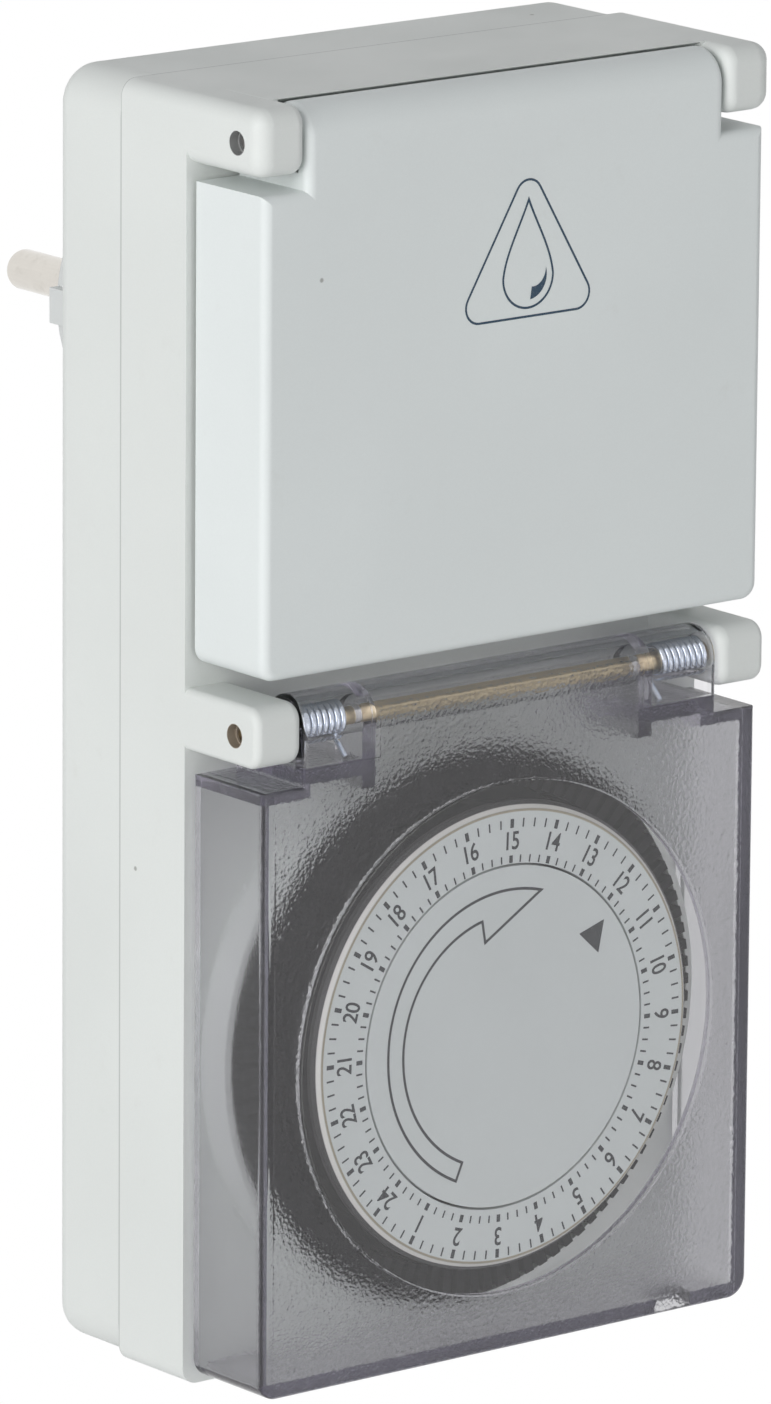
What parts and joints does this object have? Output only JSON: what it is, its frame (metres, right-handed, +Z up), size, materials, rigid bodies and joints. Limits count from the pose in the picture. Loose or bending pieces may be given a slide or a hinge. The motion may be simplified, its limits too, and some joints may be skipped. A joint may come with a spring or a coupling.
{
  "type": "outdoor plug-in timer switch",
  "caption": "Splash-proof plug-in mechanical 24-hour timer: round plug behind, socket under a flip lid, and a dial with push-in tappets under a clear flip cover.",
  "frame": {"origin": "On the plug's face, midway between its two pins.", "axes": "+Y points into the wall along the plug pins, +Z up, +X to the right for someone facing the dial."},
  "size_m": [0.0744, 0.082, 0.15],
  "materials": {
    "housing_plastic": "smooth injection-moulded grey-white",
    "insert_plastic": "smooth light grey",
    "clear_plastic": "transparent, moulded, slightly hazy walls",
    "dial_black": "satin black",
    "dial_white": "satin white, printed scale",
    "tappet_plastic": "satin dark grey",
    "gear_plastic": "natural acetal",
    "seal_rubber": "soft black",
    "zinc_steel": "bright zinc plate",
    "spring_steel": "bright blue-white zinc",
    "pin_nickel": "polished nickel plate",
    "contact_brass": "plain brass",
    "motor_steel": "drawn can",
    "switch_plastic": "dark thermoset"
  },
  "bodies": {
    "housing": {"rear_shell": "housing_plastic", "front_shell": "housing_plastic", "housing_gasket": "seal_rubber", "housing_screws": "zinc_steel", "plug_body": "insert_plastic", "line_pin": "pin_nickel", "neutral_pin": "pin_nickel", "plug_earth_strap": "pin_nickel", "socket_insert": "insert_plastic", "socket_earth_clip": "pin_nickel", "line_contact": "contact_brass", "neutral_contact": "contact_brass", "neutral_bar": "contact_brass", "line_bar": "contact_brass", "load_bar": "contact_brass", "lid_hinge_pin": "contact_brass", "cover_hinge_pin": "contact_brass", "lid_spring_left": "spring_steel", "lid_spring_right": "spring_steel", "cover_spring_left": "spring_steel", "cover_spring_right": "spring_steel", "centre_disc": "dial_white", "dial_spindle": "contact_brass", "mechanism_plate": "zinc_steel", "plate_screws": "zinc_steel", "motor_body": "motor_steel", "microswitch_body": "switch_plastic", "lever_pivot": "zinc_steel"},
    "lid": {"lid": "housing_plastic", "lid_gasket": "seal_rubber"},
    "dial_cover": {"dial_cover": "clear_plastic"},
    "dial": {"dial_drum": "dial_black", "dial_ring": "dial_white"},
    "tappets_01": {"tappets_01": "tappet_plastic"},
    "tappets_02": {"tappets_02": "tappet_plastic"},
    "tappets_03": {"tappets_03": "tappet_plastic"},
    "tappets_04": {"tappets_04": "tappet_plastic"},
    "tappets_05": {"tappets_05": "tappet_plastic"},
    "tappets_06": {"tappets_06": "tappet_plastic"},
    "tappets_07": {"tappets_07": "tappet_plastic"},
    "tappets_08": {"tappets_08": "tappet_plastic"},
    "tappets_09": {"tappets_09": "tappet_plastic"},
    "tappets_10": {"tappets_10": "tappet_plastic"},
    "tappets_11": {"tappets_11": "tappet_plastic"},
    "tappets_12": {"tappets_12": "tappet_plastic"},
    "drive_pinion": {"drive_pinion": "gear_plastic"},
    "switch_lever": {"switch_lever": "gear_plastic"},
    "switch_plunger": {"switch_plunger": "gear_plastic"}
  },
  "joints": [
    {"name": "lid_hinge", "type": "hinge", "parent": "housing", "child": "lid", "pos_m": [0, -0.0589, 0.0299], "axis": [-1, 0, 0], "range_deg": [0, 110], "stiffness_Nm_per_rad": 0.02, "springref_deg": -28.65, "deforming": ["lid_spring_left", "lid_spring_right"]},
    {"name": "cover_hinge", "type": "hinge", "parent": "housing", "child": "dial_cover", "pos_m": [0, -0.0589, -0.0377], "axis": [-1, 0, 0], "range_deg": [0, 110], "stiffness_Nm_per_rad": 0.02, "springref_deg": -28.65, "deforming": ["cover_spring_left", "cover_spring_right"]},
    {"name": "dial_turn", "type": "hinge", "parent": "housing", "child": "dial", "pos_m": [0, -0.0497, -0.0781], "axis": [0, 1, 0], "continuous": true},
    {"name": "push_01", "type": "slide", "parent": "dial", "child": "tappets_01", "axis": [0, 1, 0], "range_m": [0, 0.0025]},
    {"name": "push_02", "type": "slide", "parent": "dial", "child": "tappets_02", "axis": [0, 1, 0], "range_m": [0, 0.0025]},
    {"name": "push_03", "type": "slide", "parent": "dial", "child": "tappets_03", "axis": [0, 1, 0], "range_m": [0, 0.0025]},
    {"name": "push_04", "type": "slide", "parent": "dial", "child": "tappets_04", "axis": [0, 1, 0], "range_m": [0, 0.0025]},
    {"name": "push_05", "type": "slide", "parent": "dial", "child": "tappets_05", "axis": [0, 1, 0], "range_m": [0, 0.0025]},
    {"name": "push_06", "type": "slide", "parent": "dial", "child": "tappets_06", "axis": [0, 1, 0], "range_m": [0, 0.0025]},
    {"name": "push_07", "type": "slide", "parent": "dial", "child": "tappets_07", "axis": [0, 1, 0], "range_m": [0, 0.0025]},
    {"name": "push_08", "type": "slide", "parent": "dial", "child": "tappets_08", "axis": [0, 1, 0], "range_m": [0, 0.0025]},
    {"name": "push_09", "type": "slide", "parent": "dial", "child": "tappets_09", "axis": [0, 1, 0], "range_m": [0, 0.0025]},
    {"name": "push_10", "type": "slide", "parent": "dial", "child": "tappets_10", "axis": [0, 1, 0], "range_m": [0, 0.0025]},
    {"name": "push_11", "type": "slide", "parent": "dial", "child": "tappets_11", "axis": [0, 1, 0], "range_m": [0, 0.0025]},
    {"name": "push_12", "type": "slide", "parent": "dial", "child": "tappets_12", "axis": [0, 1, 0], "range_m": [0, 0.0025]},
    {"name": "pinion_turn", "type": "hinge", "parent": "housing", "child": "drive_pinion", "pos_m": [0, -0.0497, -0.0469], "axis": [0, 1, 0], "continuous": true},
    {"name": "lever_tilt", "type": "hinge", "parent": "housing", "child": "switch_lever", "pos_m": [0.023, -0.0409, -0.034], "axis": [1, 0, 0], "range_deg": [0, 3], "stiffness_Nm_per_rad": 0.02, "springref_deg": -5.73},
    {"name": "plunger_slide", "type": "slide", "parent": "housing", "child": "switch_plunger", "axis": [0, 1, 0], "range_m": [0, 0.0007]}
  ],
  "couplings": [
    {"joint": "pinion_turn", "follows": "dial_turn", "ratio": -5.5},
    {"joint": "plunger_slide", "follows": "lever_tilt", "m_per_rad": 0.012}
  ]
}
